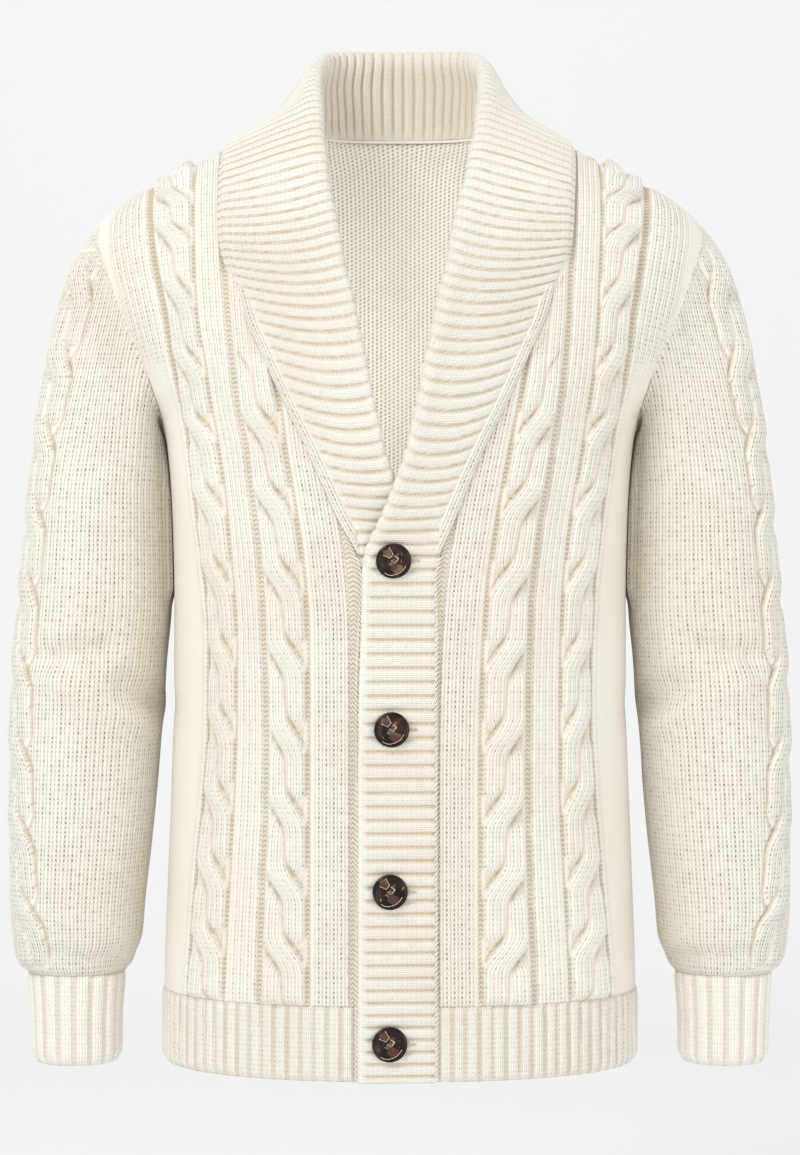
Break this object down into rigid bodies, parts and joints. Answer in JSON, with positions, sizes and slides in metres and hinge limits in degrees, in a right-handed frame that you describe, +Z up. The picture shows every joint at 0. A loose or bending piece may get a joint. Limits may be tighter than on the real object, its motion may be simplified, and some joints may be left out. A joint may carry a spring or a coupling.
{
  "type": "shawl collar cardigan",
  "caption": "Long-sleeved cable-knit cardigan with a turned-over rib shawl collar, rib cuffs and hem, and a buttoned front band, kept open and in shape as worn",
  "frame": {"origin": "midway between the two neck points, at the height of the shoulder line, where the wearer carries it", "axes": "+Z up, the front faces -Y, the wearer's left is +X"},
  "size_m": [0.5942, 0.2616, 0.7842],
  "materials": {
    "back": "soft chunky knit",
    "front_left": "soft chunky knit",
    "front_right": "soft chunky knit",
    "sleeve_left": "soft chunky knit",
    "sleeve_right": "soft chunky knit",
    "cuff_left": "soft chunky knit",
    "cuff_right": "soft chunky knit",
    "hem_rib_back": "soft chunky knit",
    "hem_rib_left": "soft chunky knit",
    "hem_rib_right": "soft chunky knit",
    "shawl_collar": "soft chunky knit",
    "button_1": "polished marbled horn imitation",
    "button_2": "polished marbled horn imitation",
    "button_3": "polished marbled horn imitation",
    "button_4": "polished marbled horn imitation"
  },
  "bodies": {
    "root": {"back": "back", "front_left": "front_left", "front_right": "front_right", "sleeve_left": "sleeve_left", "sleeve_right": "sleeve_right", "cuff_left": "cuff_left", "cuff_right": "cuff_right", "hem_rib_back": "hem_rib_back", "hem_rib_left": "hem_rib_left", "hem_rib_right": "hem_rib_right", "shawl_collar": "shawl_collar", "button_1": "button_1", "button_2": "button_2", "button_3": "button_3", "button_4": "button_4"}
  },
  "joints": []
}
